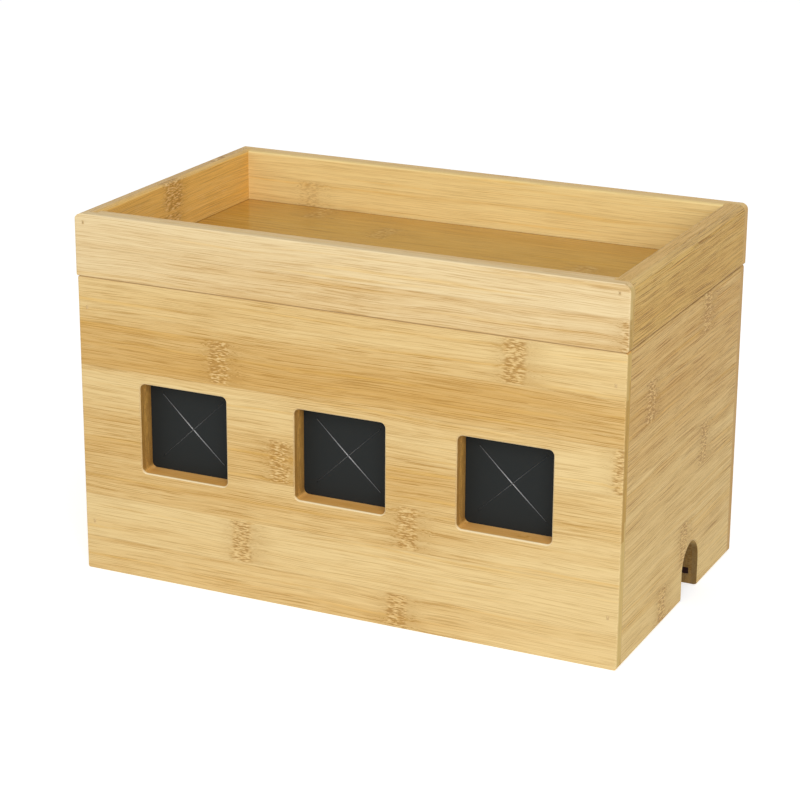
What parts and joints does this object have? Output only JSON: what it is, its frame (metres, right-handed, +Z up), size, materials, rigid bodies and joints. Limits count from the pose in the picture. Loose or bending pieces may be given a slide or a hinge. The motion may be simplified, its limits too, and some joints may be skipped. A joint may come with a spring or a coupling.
{
  "type": "cable management box",
  "caption": "Rectangular bamboo cable box with square rubber-flapped windows, arched side notches and a lift-off tray lid.",
  "frame": {"origin": "centre of the footprint, on the surface that the box stands on", "axes": "+Z up, -Y towards the side with the windows, +X to the right seen from that side"},
  "size_m": [0.31, 0.18, 0.2],
  "materials": {
    "bamboo_front": "satin",
    "bamboo_side": "satin",
    "bamboo_lid": "satin",
    "bamboo_tray": "satin",
    "dark_panel": "matt",
    "black_rubber": "satin",
    "brad_steel": "dull"
  },
  "bodies": {
    "box": {"front_panel": "bamboo_front", "rear_panel": "bamboo_front", "left_panel": "bamboo_side", "right_panel": "bamboo_side", "base_panel": "dark_panel", "box_brads": "brad_steel", "left_membrane": "black_rubber", "middle_membrane": "black_rubber", "right_membrane": "black_rubber"},
    "lid": {"lid_front_rail": "bamboo_lid", "lid_rear_rail": "bamboo_lid", "lid_left_rail": "bamboo_lid", "lid_right_rail": "bamboo_lid", "tray_floor": "bamboo_tray", "lid_brads": "brad_steel", "front_batten": "bamboo_tray", "rear_batten": "bamboo_tray", "left_batten": "bamboo_tray", "right_batten": "bamboo_tray"},
    "left_top_flap": {"left_top_flap": "black_rubber"},
    "left_right_flap": {"left_right_flap": "black_rubber"},
    "left_bottom_flap": {"left_bottom_flap": "black_rubber"},
    "left_left_flap": {"left_left_flap": "black_rubber"},
    "middle_top_flap": {"middle_top_flap": "black_rubber"},
    "middle_right_flap": {"middle_right_flap": "black_rubber"},
    "middle_bottom_flap": {"middle_bottom_flap": "black_rubber"},
    "middle_left_flap": {"middle_left_flap": "black_rubber"},
    "right_top_flap": {"right_top_flap": "black_rubber"},
    "right_right_flap": {"right_right_flap": "black_rubber"},
    "right_bottom_flap": {"right_bottom_flap": "black_rubber"},
    "right_left_flap": {"right_left_flap": "black_rubber"}
  },
  "joints": [
    {"name": "lid_lift", "type": "slide", "parent": "box", "child": "lid", "axis": [0, 0, 1], "range_m": [0, 0.12]},
    {"name": "left_top_bend", "type": "hinge", "parent": "box", "child": "left_top_flap", "pos_m": [-0.092, -0.0779, 0.1045], "axis": [1, 0, 0], "range_deg": [-65, 65], "stiffness_Nm_per_rad": 0.002},
    {"name": "left_right_bend", "type": "hinge", "parent": "box", "child": "left_right_flap", "pos_m": [-0.0725, -0.0779, 0.086], "axis": [0, 0, -1], "range_deg": [-65, 65], "stiffness_Nm_per_rad": 0.002},
    {"name": "left_bottom_bend", "type": "hinge", "parent": "box", "child": "left_bottom_flap", "pos_m": [-0.092, -0.0779, 0.0675], "axis": [-1, 0, 0], "range_deg": [-65, 65], "stiffness_Nm_per_rad": 0.002},
    {"name": "left_left_bend", "type": "hinge", "parent": "box", "child": "left_left_flap", "pos_m": [-0.1115, -0.0779, 0.086], "axis": [0, 0, 1], "range_deg": [-65, 65], "stiffness_Nm_per_rad": 0.002},
    {"name": "middle_top_bend", "type": "hinge", "parent": "box", "child": "middle_top_flap", "pos_m": [0, -0.0779, 0.1045], "axis": [1, 0, 0], "range_deg": [-65, 65], "stiffness_Nm_per_rad": 0.002},
    {"name": "middle_right_bend", "type": "hinge", "parent": "box", "child": "middle_right_flap", "pos_m": [0.0195, -0.0779, 0.086], "axis": [0, 0, -1], "range_deg": [-65, 65], "stiffness_Nm_per_rad": 0.002},
    {"name": "middle_bottom_bend", "type": "hinge", "parent": "box", "child": "middle_bottom_flap", "pos_m": [0, -0.0779, 0.0675], "axis": [-1, 0, 0], "range_deg": [-65, 65], "stiffness_Nm_per_rad": 0.002},
    {"name": "middle_left_bend", "type": "hinge", "parent": "box", "child": "middle_left_flap", "pos_m": [-0.0195, -0.0779, 0.086], "axis": [0, 0, 1], "range_deg": [-65, 65], "stiffness_Nm_per_rad": 0.002},
    {"name": "right_top_bend", "type": "hinge", "parent": "box", "child": "right_top_flap", "pos_m": [0.092, -0.0779, 0.1045], "axis": [1, 0, 0], "range_deg": [-65, 65], "stiffness_Nm_per_rad": 0.002},
    {"name": "right_right_bend", "type": "hinge", "parent": "box", "child": "right_right_flap", "pos_m": [0.1115, -0.0779, 0.086], "axis": [0, 0, -1], "range_deg": [-65, 65], "stiffness_Nm_per_rad": 0.002},
    {"name": "right_bottom_bend", "type": "hinge", "parent": "box", "child": "right_bottom_flap", "pos_m": [0.092, -0.0779, 0.0675], "axis": [-1, 0, 0], "range_deg": [-65, 65], "stiffness_Nm_per_rad": 0.002},
    {"name": "right_left_bend", "type": "hinge", "parent": "box", "child": "right_left_flap", "pos_m": [0.0725, -0.0779, 0.086], "axis": [0, 0, 1], "range_deg": [-65, 65], "stiffness_Nm_per_rad": 0.002}
  ]
}
